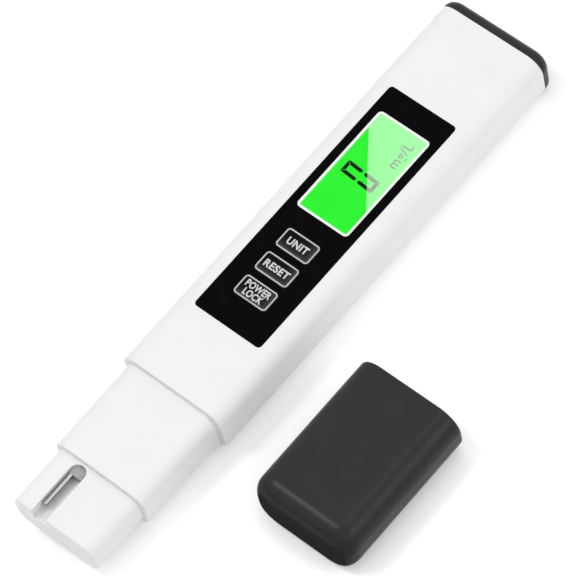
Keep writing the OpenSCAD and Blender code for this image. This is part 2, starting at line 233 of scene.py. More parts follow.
class Finish:
    """A material that follows the piece, made up step by step. Sizes are of its pattern, in metres."""

    def __init__(self, name, colour, roughness, metallic=0.0, **sockets):
        self.material = bpy.data.materials.new(name)
        self.material.use_nodes = True
        self.nodes = self.material.node_tree.nodes
        self.links = self.material.node_tree.links
        self.shader = self.nodes["Principled BSDF"]
        self.colour = colour
        self.roughness = roughness
        self.place = self.nodes.new("ShaderNodeTexCoord").outputs["Object"]
        self.shader.inputs["Base Color"].default_value = (*colour, 1)
        self.shader.inputs["Roughness"].default_value = roughness
        self.shader.inputs["Metallic"].default_value = metallic
        for socket, value in sockets.items():
            self.shader.inputs[socket.replace("_", " ").title().replace("Ior", "IOR")].default_value = value
        self.bump = None

    def stretched(self, stretch):
        """The object's place, squeezed so that a pattern runs long where stretch is large."""
        mapping = self.nodes.new("ShaderNodeMapping")
        mapping.inputs["Scale"].default_value = [1 / s for s in stretch]
        self.links.new(self.place, mapping.inputs["Vector"])
        return mapping.outputs["Vector"]

    def noise(self, size, detail=2.0, stretch=(1, 1, 1)):
        """Cloudy values from 0 to 1, with spots of the given size."""
        cloud = self.nodes.new("ShaderNodeTexNoise")
        cloud.inputs["Scale"].default_value = 1 / size
        cloud.inputs["Detail"].default_value = detail
        self.links.new(self.stretched(stretch), cloud.inputs["Vector"])
        return cloud.outputs["Fac"]

    def math(self, operation, first, second=None, third=None, clamp=False):
        """One arithmetic step on sockets or numbers."""
        step = self.nodes.new("ShaderNodeMath")
        step.operation = operation
        step.use_clamp = clamp
        for socket, value in zip(step.inputs, (first, second, third)):
            if isinstance(value, (int, float)):
                socket.default_value = value
            elif value is not None:
                self.links.new(value, socket)
        return step.outputs[0]

    def axis(self, index):
        """The place along X, Y or Z."""
        split = self.nodes.new("ShaderNodeSeparateXYZ")
        self.links.new(self.place, split.inputs[0])
        return split.outputs[index]

    def fade(self, index, start, length):
        """Grows from 0 to 1 along X, Y or Z, over a length from start."""
        return self.math("MULTIPLY_ADD", self.axis(index), 1 / length, -start / length, clamp=True)

    def ramp(self, value, stops):
        """A colour for each value, between (position, colour) stops."""
        ramp = self.nodes.new("ShaderNodeValToRGB")
        while len(ramp.color_ramp.elements) < len(stops):
            ramp.color_ramp.elements.new(0.5)
        for element, (position, colour) in zip(ramp.color_ramp.elements, stops):
            element.position = position
            element.color = (*colour, 1)
        self.links.new(value, ramp.inputs["Fac"])
        return ramp.outputs["Color"]

    def paint(self, colour_socket):
        """Uses a computed colour for the surface."""
        self.links.new(colour_socket, self.shader.inputs["Base Color"])
        return self

    def tone(self, size, spread, stretch=(1, 1, 1)):
        """Slow changes of tone across the surface."""
        darker = [c * (1 - spread) for c in self.colour]
        lighter = [min(1, c * (1 + spread)) for c in self.colour]
        return self.paint(self.ramp(self.noise(size, 3, stretch), [(0.35, darker), (0.65, lighter)]))

    def patches(self, size, spread, stretch=(1, 1, 1)):
        """Slightly duller and shinier patches."""
        limits = self.nodes.new("ShaderNodeMapRange")
        limits.inputs["From Min"].default_value = 0.3
        limits.inputs["From Max"].default_value = 0.7
        limits.inputs["To Min"].default_value = max(0.02, self.roughness - spread)
        limits.inputs["To Max"].default_value = self.roughness + spread
        self.links.new(self.noise(size, 3, stretch), limits.inputs["Value"])
        self.links.new(limits.outputs["Result"], self.shader.inputs["Roughness"])
        return self

    def relief(self, height, depth, strength=1.0):
        """Raises the surface by depth where height is 1."""
        bump = self.nodes.new("ShaderNodeBump")
        bump.inputs["Distance"].default_value = depth
        bump.inputs["Strength"].default_value = strength
        self.links.new(height, bump.inputs["Height"])
        if self.bump:
            self.links.new(self.bump, bump.inputs["Normal"])
        self.bump = bump.outputs["Normal"]
        self.links.new(self.bump, self.shader.inputs["Normal"])
        return self

    def grain(self, size, depth, stretch=(1, 1, 1)):
        """The fine texture that a mould, a roller or a file leaves."""
        return self.relief(self.noise(size, 2, stretch), depth)


def white_abs():
    """Satin white moulded ABS: a fine spark-eroded grain and hardly any change of tone."""
    finish = Finish("white_abs", (0.72, 0.72, 0.72), 0.45, specular_ior_level=0.35)
    return finish.tone(9 * MM, 0.012).patches(4 * MM, 0.05).grain(0.22 * MM, 0.006 * MM).material


def charcoal_abs(name="charcoal_abs"):
    """Satin charcoal ABS with a fine mould grain."""
    finish = Finish(name, CHARCOAL, CHARCOAL_ROUGHNESS, specular_ior_level=CHARCOAL_SHEEN)
    return finish.tone(6 * MM, 0.05).patches(9 * MM, 0.03).grain(0.25 * MM, 0.008 * MM)


def cap_abs(low):
    """The same ABS for the cap, without sheen at the foot of its closed end, given the cap's low corner."""
    finish = charcoal_abs("cap_abs")
    along = finish.fade(0, low.x + FOOT_LENGTH, FOOT_LENGTH_FADE)
    upward = finish.fade(2, low.z + FOOT_HEIGHT, FOOT_HEIGHT_FADE)
    sheen = finish.math("MULTIPLY", finish.math("MAXIMUM", along, upward), CHARCOAL_SHEEN)
    finish.links.new(sheen, finish.shader.inputs["Specular IOR Level"])
    return finish.material


def panel_print():
    """Black print behind a glossy hard-coated sheet."""
    finish = Finish("panel_print", (0.0022, 0.0022, 0.0024), 0.22, specular_ior_level=0.02)
    return finish.tone(3 * MM, 0.2).patches(8 * MM, 0.04).grain(1.4 * MM, 0.002 * MM).material


def border_print():
    """White print behind the same glossy sheet."""
    finish = Finish("border_print", (0.76, 0.80, 0.76), 0.25, specular_ior_level=0.1)
    return finish.tone(2 * MM, 0.02).patches(6 * MM, 0.04).grain(1.4 * MM, 0.001 * MM).material


def key_print_and_sheen(name, centre, half_length, half_width):
    """A black printed key with a painted sheen that greys its lower and right sides."""
    finish = Finish(name, (0.002, 0.002, 0.002), 0.25, specular_ior_level=0.06)
    # Painted sheen: the key's lower and right sides are painted grey, standing in for a reflection.
    down = finish.math("MULTIPLY_ADD", finish.axis(0), -1 / half_length, centre.x / half_length)
    right = finish.math("MULTIPLY_ADD", finish.axis(1), -1 / half_width, centre.y / half_width)
    low_painted_sheen = finish.math("POWER", finish.math("MULTIPLY_ADD", down, 0.5, 0.38, clamp=True), 4.5)
    side_painted_sheen = finish.math("POWER", finish.math("MULTIPLY_ADD", right, 0.5, 0.42, clamp=True), 7.0)
    glow = finish.math("MAXIMUM", low_painted_sheen, side_painted_sheen)
    speckle = finish.math("MULTIPLY_ADD", finish.noise(0.35 * MM, 2), 0.5, 0.75)
    painted_sheen = finish.math("MULTIPLY", glow, speckle, clamp=True)
    finish.paint(finish.ramp(painted_sheen, [(0.0, (0.003, 0.003, 0.003)), (0.9, (0.11, 0.11, 0.115))]))
    return finish.patches(3 * MM, 0.04).grain(1.0 * MM, 0.002 * MM).material


def silver_print():
    """Pale grey print of the keys' outlines."""
    finish = Finish("silver_print", (0.42, 0.42, 0.43), 0.35)
    return finish.tone(1.5 * MM, 0.08).patches(2 * MM, 0.05).grain(0.2 * MM, 0.001 * MM).material


def white_print():
    """Whiter print of the keys' words."""
    finish = Finish("white_print", (0.52, 0.52, 0.54), 0.35)
    return finish.tone(0.8 * MM, 0.05).patches(2 * MM, 0.05).grain(0.2 * MM, 0.001 * MM).material


def lit_film():
    """The display's front film, lit green from behind, its green changing a little in soft clouds."""
    finish = Finish("lit_film", (0.004, 0.02, 0.004), 0.5, emission_strength=1.0, specular_ior_level=0.02)
    glow = finish.noise(7 * MM, 2)
    colour = finish.ramp(glow, [(0.3, (0.014, 0.86, 0.020)), (0.7, (0.022, 0.91, 0.028))])
    finish.links.new(colour, finish.shader.inputs["Emission Color"])
    return finish.patches(5 * MM, 0.05).material


def display_ink():
    """The dark of a driven display segment."""
    finish = Finish("display_ink", (0.001, 0.006, 0.001), 0.6, specular_ior_level=0.02)
    return finish.tone(0.6 * MM, 0.2).patches(2 * MM, 0.05).material


def pane_with_painted_glare(middle_z):
    """A clear pane with a painted glare: a greenish-white film on its front face beyond a slanting line, and more of
    it towards the battery end.
    """
    finish = Finish("pane_with_painted_glare", (0.82, 0.98, 0.84), 0.12, specular_ior_level=0.1)
    # The pane's base colour is the painted glare's colour, shown through its alpha.
    across = finish.math("MULTIPLY_ADD", finish.axis(1), -PAINTED_GLARE_SLOPE, -PAINTED_GLARE_START)
    beyond = finish.math("ADD", finish.axis(0), across)
    edge = finish.math("MULTIPLY_ADD", beyond, 1 / PAINTED_GLARE_EDGE, 0.5, clamp=True)
    front = finish.math("GREATER_THAN", finish.axis(2), middle_z)
    cloud = finish.math("MULTIPLY_ADD", finish.noise(9 * MM, 1), PAINTED_GLARE_CLOUD, PAINTED_GLARE)
    painted_glare_amount = finish.math("MULTIPLY_ADD", finish.math("MAXIMUM", beyond, 0.0), PAINTED_GLARE_GROWTH, cloud)
    alpha = finish.math("MULTIPLY_ADD", finish.math("MULTIPLY", edge, front), painted_glare_amount, PANE_ALPHA)
    finish.links.new(alpha, finish.shader.inputs["Alpha"])
    return finish.material


def display_glass():
    """Thin float glass."""
    finish = Finish("display_glass", (0.82, 0.92, 0.86), 0.08, alpha=0.35)
    return finish.tone(12 * MM, 0.02).patches(9 * MM, 0.02).material


def milky_guide():
    """The backlight's milky acrylic."""
    finish = Finish("milky_guide", (0.78, 0.84, 0.70), 0.55)
    return finish.tone(4 * MM, 0.03).patches(3 * MM, 0.06).grain(0.3 * MM, 0.004 * MM).material


def reflector_film():
    """White reflector film."""
    finish = Finish("reflector_film", (0.88, 0.88, 0.88), 0.6)
    return finish.tone(3 * MM, 0.02).patches(3 * MM, 0.05).grain(0.15 * MM, 0.002 * MM).material


def lamp_resin():
    """Pale yellow resin of a small lamp."""
    finish = Finish("lamp_resin", (0.80, 0.74, 0.28), 0.3)
    return finish.tone(0.8 * MM, 0.06).patches(1 * MM, 0.06).grain(0.1 * MM, 0.002 * MM).material


def natural_abs():
    """Unpigmented ABS of the inner frame and the display holder."""
    finish = Finish("natural_abs", (0.74, 0.70, 0.58), 0.5)
    return finish.tone(7 * MM, 0.04).patches(4 * MM, 0.07).grain(0.25 * MM, 0.010 * MM).material


def striped_rubber():
    """Contact rubber: black and grey layers, a tenth of a millimetre each."""
    finish = Finish("striped_rubber", (0.10, 0.10, 0.11), 0.65)
    wave = finish.math("SINE", finish.math("MULTIPLY", finish.axis(1), 2 * math.pi / (0.2 * MM)))
    stripe = finish.math("MULTIPLY_ADD", wave, 0.5, 0.5)
    finish.paint(finish.ramp(stripe, [(0.45, (0.02, 0.02, 0.02)), (0.55, (0.28, 0.28, 0.30))]))
    return finish.patches(1 * MM, 0.08).relief(stripe, 0.01 * MM).material


def solder_mask():
    """Green solder mask, raised over copper tracks that run along the board."""
    finish = Finish("solder_mask", (0.02, 0.16, 0.06), 0.32)
    lane = finish.math("SINE", finish.math("MULTIPLY", finish.axis(1), 2 * math.pi / (1.3 * MM)))
    bend = finish.math("GREATER_THAN", finish.noise(6 * MM, 1, (3, 1, 1)), 0.46)
    track = finish.math("MULTIPLY", finish.math("GREATER_THAN", lane, 0.35), bend)
    finish.paint(finish.ramp(track, [(0.4, (0.012, 0.11, 0.04)), (0.6, (0.03, 0.23, 0.08))]))
    return finish.patches(3 * MM, 0.05).relief(track, 0.03 * MM).grain(0.2 * MM, 0.002 * MM).material


def moulded_resin():
    """Dull black resin of chips and switches."""
    finish = Finish("moulded_resin", (0.018, 0.018, 0.019), 0.6)
    return finish.tone(1.5 * MM, 0.15).patches(1 * MM, 0.08).grain(0.12 * MM, 0.010 * MM).material


def drawn_steel():
    """Drawn sheet steel with faint lines along the draw."""
    finish = Finish("drawn_steel", (0.60, 0.60, 0.61), 0.32, 1.0)
    finish.tone(1 * MM, 0.05, (8, 1, 1)).patches(1 * MM, 0.06)
    return finish.grain(0.08 * MM, 0.003 * MM, (12, 1, 1)).material


def ceramic_tan():
    """Ceramic and resin of the small board parts."""
    finish = Finish("ceramic_tan", (0.42, 0.30, 0.16), 0.45)
    return finish.tone(0.9 * MM, 0.15).patches(1 * MM, 0.08).grain(0.1 * MM, 0.004 * MM).material


def zinc_plate():
    """Zinc plated screws."""
    finish = Finish("zinc_plate", (0.52, 0.53, 0.55), 0.35, 1.0)
    return finish.tone(0.7 * MM, 0.08).patches(0.6 * MM, 0.08).grain(0.1 * MM, 0.004 * MM).material


def nickel_spring():
    """Nickel plated spring strip, rolled along its length."""
    finish = Finish("nickel_spring", (0.66, 0.64, 0.58), 0.28, 1.0)
    return finish.tone(2 * MM, 0.05).patches(2 * MM, 0.06).grain(0.06 * MM, 0.003 * MM, (20, 1, 1)).material


def grey_acetal():
    """Grey acetal of the switch plungers."""
    finish = Finish("grey_acetal", (0.12, 0.12, 0.125), 0.45)
    return finish.tone(1 * MM, 0.08).patches(1 * MM, 0.06).grain(0.12 * MM, 0.004 * MM).material


def electrode_metal():
    """Polished titanium alloy, drawn along the pin."""
    finish = Finish("electrode_metal", (0.36, 0.36, 0.37), 0.14, 1.0)
    finish.tone(1 * MM, 0.04, (9, 1, 1)).patches(0.5 * MM, 0.05)
    return finish.grain(0.05 * MM, 0.002 * MM, (20, 1, 1)).material


def potting_epoxy():
    """Black potting epoxy with a few soft hollows."""
    finish = Finish("potting_epoxy", (0.02, 0.02, 0.022), 0.35)
    return finish.tone(2 * MM, 0.2).patches(2 * MM, 0.1).grain(1.1 * MM, 0.05 * MM).material


def seal_compound():
    """Grey sealing compound, cast by hand, so that its surface swells a little."""
    finish = Finish("seal_compound", (0.30, 0.30, 0.30), 0.5)
    return finish.tone(0.8 * MM, 0.1).patches(0.6 * MM, 0.08).grain(0.5 * MM, 0.03 * MM).material


def wire_cover(name, colour):
    """Extruded insulation of a lead."""
    finish = Finish(name, colour, 0.45)
    return finish.tone(2 * MM, 0.08, (4, 1, 1)).patches(1 * MM, 0.06).grain(0.2 * MM, 0.004 * MM, (6, 1, 1)).material


def nitrile():
    """Black nitrile rubber of the seals."""
    finish = Finish("nitrile", (0.022, 0.022, 0.022), 0.6)
    return finish.tone(1 * MM, 0.15).patches(1 * MM, 0.08).grain(0.15 * MM, 0.006 * MM).material


def cell_steel():
    """Nickel plated cell can, brushed by handling, its fine grain drawn out along X."""
    finish = Finish("cell_steel", (0.68, 0.67, 0.65), 0.25, 1.0)
    return finish.tone(2 * MM, 0.05).patches(1 * MM, 0.08).grain(0.07 * MM, 0.002 * MM, (4, 1, 1)).material


def floor_white():
    """A plain pale floor that glows a little."""
    finish = Finish("floor_white", (0.93, 0.93, 0.93), 0.8, specular_ior_level=0.0,
                    emission_color=(1, 1, 1, 1), emission_strength=FLOOR_GLOW)
    return finish.tone(60 * MM, 0.004).material


# --- Places taken from the frame ---------------------------------------------------------------

body_low, body_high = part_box("housing")
panel_low, panel_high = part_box("front_panel")
border_low, border_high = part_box("window_border")
film_low, film_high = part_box("front_polariser")
glass_low, glass_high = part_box("lcd_front_glass")
probe_low, probe_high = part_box("probe_head")
pins_low, pins_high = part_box("electrode_pins")
chassis_low, chassis_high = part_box("chassis")
end_low, end_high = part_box("battery_cap")
tray_low, tray_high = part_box("battery_tray")
cells_low, cells_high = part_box("button_cells")
cap_low, cap_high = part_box("protective_cap")

WALL = 1.6 * MM
COLLAR_SIZE = Vector((24.9, 26.4, 11.9)) * MM
TIP_SIZE = Vector((15.7, 24.0, 9.2)) * MM
TIP_LOW_Z = 2.6 * MM
OPENING_MARGIN = 0.2 * MM
STEM_HOLE = 1.85 * MM
KEY_INSET_LOW = Vector((0.22, 0.32, 0)) * MM
KEY_INSET_HIGH = Vector((0.50, 0.48, 0)) * MM
# Painted glare on the window pane: where its slanting line starts, its slope and soft edge, how white it is, its
# cloudiness and its growth towards the battery end; elsewhere the pane is nearly clear.
PAINTED_GLARE_START = 12.15 * MM
PAINTED_GLARE_SLOPE = 1.283
PAINTED_GLARE_EDGE = 0.15 * MM
PAINTED_GLARE = 0.31
PAINTED_GLARE_CLOUD = 0.05
PAINTED_GLARE_GROWTH = 3.0
PANE_ALPHA = 0.005
PIN_RADIUS = 0.65 * MM
PIN_SHIFT = Vector((0, 0.4, 0.25)) * MM
SHOULDER_X = body_low.x
RIM_X = body_high.x
STEP_X = SHOULDER_X - COLLAR_SIZE.x
TIP_X = probe_low.x
CHANNEL_Y = 4.075 * MM
CHANNEL_END_X = STEP_X - 0.6 * MM
CHANNEL_LIP = 1.4 * MM
MIDDLE_Z = body_high.z / 2
KEY_NODES = ("mode_key", "clear_key", "power_key")
CELL_X = 46.4 * MM
CELL_PLACES = (-6.15 * MM, 6.15 * MM)
CELL_RADIUS = 5.8 * MM


# --- White shell -------------------------------------------------------------------------------

def housing_shell(material):
    """The white tube, with the panel's recess, the display opening and the keys' pockets."""
    shell = rounded_bar("housing_shell", body_low, body_high, BODY_CORNER)
    rim(shell, 0, SHOULDER_X, SHOULDER_FILLET)
    rim(shell, 0, RIM_X, JOINT_FILLET, 2)
    wall = Vector((-WALL, WALL, WALL))
    bore = rounded_bar("bore", body_low + wall, body_high - wall, BODY_CORNER - WALL)
    recess = rounded_bar("recess", panel_low, panel_high + Vector((0, 0, WALL)), PANEL_CORNER, 2, 6)
    margin = Vector((OPENING_MARGIN, OPENING_MARGIN, 0))
    opening = rounded_bar("opening", Vector((glass_low.x, glass_low.y, MIDDLE_Z)) - margin,
                          Vector((glass_high.x, glass_high.y, body_high.z + WALL)) + margin, 0.6 * MM, 2, 4)
    carve(shell, bore, recess, opening)
    for node in KEY_NODES:
        low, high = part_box(node)
        middle = (low + high) / 2
        spread = Vector((OPENING_MARGIN, OPENING_MARGIN, 0))
        pocket = rounded_bar("pocket", Vector((low.x, low.y, high.z - 1.5 * MM)) - spread,
                             high + spread + Vector((0, 0, WALL)), KEY_CORNER, 2, 4)
        hole = rod("hole", (middle.x, middle.y, MIDDLE_Z), (middle.x, middle.y, high.z), STEM_HOLE)
        carve(shell, pocket, hole)
    smooth(shell)
    return install(shell, "tester", material, ["housing"])


def electrode_channel(start_x, low_z, high_z, inset=0.0):
    """The shape of one channel, from start_x to its round inner end."""
    half = CHANNEL_WIDTH / 2 - inset
    channel = block("channel", (start_x, CHANNEL_Y - half, low_z), (CHANNEL_END_X - inset, CHANNEL_Y + half, high_z))
    bevel_where(channel, along(2), half * 0.999, 12)
    return channel


def electrode_seals(material):
    """Grey compound that fills the round end of each channel, where its pin goes into the moulding."""
    start_x = CHANNEL_END_X - SEAL_LENGTH
    top = TIP_LOW_Z + TIP_SIZE.z
    for name, low_z, high_z in (("seal_upper", top - CHANNEL_DEPTH, top - SEAL_DEPTH),
                                ("seal_lower", TIP_LOW_Z + SEAL_DEPTH, TIP_LOW_Z + CHANNEL_DEPTH)):
        seal = electrode_channel(start_x - CHANNEL_WIDTH, low_z, high_z, 0.1 * MM)
        seal.name = name
        carve(seal, block("cut", (start_x - 2 * CHANNEL_WIDTH, CHANNEL_Y - CHANNEL_WIDTH, 0),
                          (start_x, CHANNEL_Y + CHANNEL_WIDTH, 2 * top)))
        soften(seal, 0.15 * MM, 3, 60)
        smooth(seal)
        install(seal, "tester", material)


def probe_shell(material):
    """Collar, tip and inner plug in one moulding, with a channel in each face of the tip."""
    half = COLLAR_SIZE / 2
    collar = rounded_bar("probe_shell", (STEP_X, -half.y, MIDDLE_Z - half.z),
                         (SHOULDER_X + 0.2 * MM, half.y, MIDDLE_Z + half.z), COLLAR_CORNER)
    rim(collar, 0, STEP_X, STEP_FILLET)
    tip = rounded_bar("tip", (TIP_X, -TIP_SIZE.y / 2, TIP_LOW_Z),
                      (STEP_X + 2 * MM, TIP_SIZE.y / 2, TIP_LOW_Z + TIP_SIZE.z), TIP_CORNER)
    rim(tip, 0, TIP_X, STEP_FILLET)
    inside = Vector((0, WALL, WALL))
    plug = rounded_bar("plug", Vector((SHOULDER_X - 2 * MM, body_low.y, body_low.z)) + inside,
                       Vector((probe_high.x, body_high.y, body_high.z)) - inside, BODY_CORNER - WALL)
    fuse(collar, tip)
    top = TIP_LOW_Z + TIP_SIZE.z
    carve(collar, electrode_channel(TIP_X - CHANNEL_WIDTH, top - CHANNEL_DEPTH, top + 4 * MM),
          electrode_channel(TIP_X + CHANNEL_LIP, TIP_LOW_Z - 4 * MM, TIP_LOW_Z + CHANNEL_DEPTH))
    soften(collar, CHANNEL_SOFTNESS, 3, 60)
    fuse(collar, plug)
    cavity = rounded_bar("cavity", (STEP_X + 2 * MM, -10.5 * MM, 3.0 * MM),
                         (probe_high.x + 1 * MM, 10.5 * MM, 10.9 * MM), 1.6 * MM, 0, 4)
    carve(collar, cavity)
    smooth(collar)
    return install(collar, "tester", material, ["probe_head"])


def electrodes(material):
    """Two drawn pins with rounded ends, one close to the wall of each channel."""
    middle = (pins_low + pins_high) / 2
    place = Vector((pins_low.x, middle.y, pins_high.z - PIN_RADIUS)) + PIN_SHIFT
    pin = rod("electrode_upper", place, (pins_high.x, place.y, place.z), PIN_RADIUS)
    rim(pin, 0, pins_low.x, PIN_RADIUS * 0.5, 5)
    lower = twin(pin, "electrode_lower", (0, 0, 2 * (middle.z - place.z)))
    smooth(pin)
    smooth(lower)
    install(lower, "tester", material)
    return install(pin, "tester", material, ["electrode_pins"])


# --- Front panel -------------------------------------------------------------------------------

def front_sheet(material):
    """The black sheet, open at the window and round the keys."""
    sheet = rounded_bar("front_sheet", panel_low, panel_high, PANEL_CORNER, 2, 8)
    rim(sheet, 2, panel_high.z, PANEL_FILLET, 3)
    tall = Vector((0, 0, WALL))
    carve(sheet, rounded_bar("window", border_low - tall, border_high + tall, WINDOW_CORNER, 2, 8))
    for node in KEY_NODES:
        low, high = key_top_box(node)
        gap = Vector((KEY_GAP, KEY_GAP, WALL))
        carve(sheet, rounded_bar("key_hole", low - gap, high + gap, KEY_CORNER + KEY_GAP, 2, 6))
    smooth(sheet)
    return install(sheet, "tester", material, ["front_panel"])


def border_ring(material):
    """The white line round the window."""
    ring = rounded_bar("border_ring", border_low, border_high, WINDOW_CORNER, 2, 8)
    low, high = pane_box()
    tall = Vector((0, 0, WALL))
    carve(ring, rounded_bar("opening", low - tall, high + tall, WINDOW_CORNER - BORDER_WIDTH, 2, 4))
    smooth(ring)
    return install(ring, "tester", material, ["window_border"])


def pane_box():
    """The corners of the clear pane inside the white line."""
    line = Vector((BORDER_WIDTH, BORDER_WIDTH, 0))
    return border_low + line, border_high - line


def clear_pane(material):
    """The clear part of the front sheet, over the display."""
    pane = rounded_bar("clear_pane", *pane_box(), WINDOW_CORNER - BORDER_WIDTH, 2, 4)
    smooth(pane)
    return install(pane, "tester", material, ["window_lens"])


def key_top_box(node):
    """The corners of the part of a key that shows above the panel's underside."""
    low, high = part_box(node)
    return Vector((low.x, low.y, panel_low.z)) + KEY_INSET_LOW, high - KEY_INSET_HIGH


def outline(name, low, high, corner, width, top, material, body):
    """A thin printed line round a rectangle."""
    raised = Vector((0, 0, PRINT_THICKNESS))
    line = rounded_bar(name, Vector((low.x, low.y, top)), Vector((high.x, high.y, top)) + raised, corner, 2, 8)
    step = Vector((width, width, 0))
    tall = Vector((0, 0, WALL))
    inside = rounded_bar("inside", Vector((low.x, low.y, top)) + step - tall,
                         Vector((high.x, high.y, top)) - step + tall, max(corner - width, 0.2 * MM), 2, 6)
    carve(line, inside)
    smooth(line)
    return install(line, body, material)


def printed_words(name, words, centre, height, width, turn, weight, material, body):
    """Words in raised print, fitted to a height and width about centre and turned about Z."""
    bpy.ops.object.select_all(action="DESELECT")
    bpy.ops.object.text_add()
    text = bpy.context.object
    text.name = name
    text.data.body = words
    text.data.align_x = "CENTER"
    text.data.offset = weight
    text.data.space_line = 0.85
    text.data.space_character = 1.08
    text.data.resolution_u = 6
    bpy.ops.object.convert(target="MESH")
    apply_modifier(text, "SOLIDIFY", thickness=0.02, offset=0)
    corners = [Vector(c) for c in text.bound_box]
    low = Vector([min(c[i] for c in corners) for i in range(3)])
    high = Vector([max(c[i] for c in corners) for i in range(3)])
    size = high - low
    scale = Matrix.Diagonal((width / size.x, height / size.y, PRINT_THICKNESS / size.z, 1))
    text.data.transform(Matrix.Translation(centre) @ Matrix.Rotation(turn, 4, "Z") @ scale
                        @ Matrix.Translation(-(low + high) / 2))
    smooth(text, 30)
    return install(text, body, material)


KEY_WORDS = {
    "mode_key": ("UNIT", 1.95, 5.9),
    "clear_key": ("RESET", 1.95, 7.0),
    "power_key": ("POWER\nLOCK", 3.9, 7.0),
}
KEY_BODIES = {"mode_key": "mode_button", "clear_key": "clear_button", "power_key": "power_button"}
READ_DOWN = -math.pi / 2


def key_piece(node):
    """A key: its cap with a flange and a stem below, its silver line and its word."""
    low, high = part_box(node)
    top_low, top_high = key_top_box(node)
    middle = (top_low + top_high) / 2
    half = (top_high - top_low) / 2
    body = KEY_BODIES[node]
    cap = rounded_bar(node + "_cap", top_low - Vector((0, 0, 0.1 * MM)), top_high, KEY_CORNER, 2, 8)
    rim(cap, 2, top_high.z, KEY_FILLET, 3)
    flange_top = panel_low.z - 0.05 * MM
    flange = rounded_bar("flange", (low.x, low.y, flange_top - 0.35 * MM), (high.x, high.y, flange_top),
                         KEY_CORNER, 2, 6)
    stem = rod("stem", (middle.x, middle.y, low.z), (middle.x, middle.y, flange_top - 0.1 * MM), 1.5 * MM)
    fuse(cap, flange, stem)
    smooth(cap)
    install(cap, body, key_print_and_sheen(node + "_print", middle, half.x, half.y), [node])
    outline(node + "_line", top_low, top_high, KEY_CORNER, LINE_WIDTH, top_high.z, silver, body)
    words, height, width = KEY_WORDS[node]
    place = Vector((middle.x, middle.y, top_high.z + PRINT_THICKNESS / 2))
    printed_words(node + "_word", words, place, height * MM, width * MM, READ_DOWN, 0.034, white_ink, body)


# --- Display -----------------------------------------------------------------------------------

DIGIT_CENTRE = Vector((9.85, 0.35)) * MM
DIGIT_HEIGHT = 9.6 * MM
DIGIT_WIDTH = 3.4 * MM
SEGMENT_WIDTH = 0.92 * MM
SEGMENT_GAP = 0.3 * MM
MITRE_GAP = 0.07 * MM
DIGIT_SLANT = 0.07
UNIT_CENTRE = Vector((19.45, -4.1)) * MM


def segment(name, start, end, inward, mitres, material):
    """One display segment from start to end along its outer edge, its ends mitred or pointed."""
    start, end, inward = Vector(start), Vector(end), Vector(inward)
    way = (end - start).normalized()
    low, high = film_high.z, film_high.z + PRINT_THICKNESS
    piece = block(name, (0, 0, low), ((end - start).length, SEGMENT_WIDTH, high))
    length = (end - start).length
    if not all(mitres):
        place = length if mitres[0] else 0
        bevel_where(piece, lambda a, b: along(2)(a, b) and level(0, place)(a, b), SEGMENT_WIDTH * 0.4, 1)
    for vertex in piece.data.vertices:
        along_way, depth = vertex.co.x, vertex.co.y
        if mitres[0] and along_way < length / 2:
            along_way += depth + MITRE_GAP
        if mitres[1] and along_way > length / 2:
            along_way -= depth + MITRE_GAP
        spot = start + way * along_way + inward * depth
        vertex.co.x = DIGIT_CENTRE.x + spot.x + DIGIT_SLANT * spot.y
        vertex.co.y = DIGIT_CENTRE.y + spot.y
    smooth(piece)
    return install(piece, "tester", material)


def display_digit(material):
    """A seven-segment nought: the middle segment is off."""
    side, end = DIGIT_WIDTH / 2, DIGIT_HEIGHT / 2
    for x, word in ((-1, "left"), (1, "right")):
        for y, place in ((-1, "lower"), (1, "upper")):
            segment(f"segment_{place}_{word}", (x * side, y * end), (x * side, y * SEGMENT_GAP),
                    (-x, 0), (True, False), material)
    for y, place in ((-1, "bottom"), (1, "top")):
        segment(f"segment_{place}", (-side, y * end), (side, y * end), (0, -y), (True, True), material)


# --- Black mouldings ---------------------------------------------------------------------------

def end_piece(material):
    """The battery cap: a plate with a rounded outer rim, and a hollow plug with a seal groove."""
    plate = rounded_bar("end_piece", (RIM_X, end_low.y, end_low.z), end_high, BODY_CORNER)
    rim(plate, 0, end_high.x, END_FILLET, 8)
    rim(plate, 0, RIM_X, JOINT_FILLET, 2)
    wall = Vector((0, WALL + 0.15 * MM, WALL + 0.15 * MM))
    plug = rounded_bar("plug", Vector((end_low.x, end_low.y, end_low.z)) + wall,
                       Vector((RIM_X + 1 * MM, end_high.y, end_high.z)) - wall, BODY_CORNER - WALL - 0.15 * MM)
    groove_low, groove_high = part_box("battery_cap_seal")
    fuse(plate, plug)
    groove = rounded_bar("groove", groove_low - Vector((0, 1, 1)) * MM, groove_high + Vector((0, 1, 1)) * MM, 2 * MM)
    depth = Vector((-1, 0.8, 0.8)) * MM
    carve(groove, rounded_bar("core", groove_low + depth, groove_high - depth, 2 * MM))
    carve(plate, groove)
    hollow = Vector((-1, 3.8, 3.8)) * MM
    carve(plate, rounded_bar("hollow", Vector((end_low.x, end_low.y, end_low.z)) + hollow,
                             Vector((RIM_X - 1 * MM, end_high.y, end_high.z)) - hollow, 0.8 * MM))
    smooth(plate)
    return install(plate, "battery_drawer", material, ["battery_cap"])


def drawer_frame(material):
    """The tray that holds the two cells side by side, with slots for the contact fingers below."""
    tray = rounded_bar("drawer_frame", tray_low, tray_high, 1.0 * MM, 0, 5)
    for y in CELL_PLACES:
        pocket = rod("pocket", (CELL_X, y, cells_low.z), (CELL_X, y, tray_high.z + 1 * MM),
                     CELL_RADIUS + 0.15 * MM, 64)
        slot = block("slot", (tray_low.x - 1 * MM, y - 1.9 * MM, 0),
                     (CELL_X + 3 * MM, y + 1.9 * MM, cells_low.z + 1 * MM))
        carve(tray, pocket, slot)
    link_low, link_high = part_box("cell_link")
    carve(tray, block("bed", (link_low.x - 0.2 * MM, link_low.y + 3 * MM, link_low.z),
                      (link_high.x + 0.2 * MM, link_high.y - 3 * MM, link_high.z + 5 * MM)))
    soften(tray, 0.12 * MM, 2, 50)
    smooth(tray)
    return install(tray, "battery_drawer", material, ["battery_tray"])


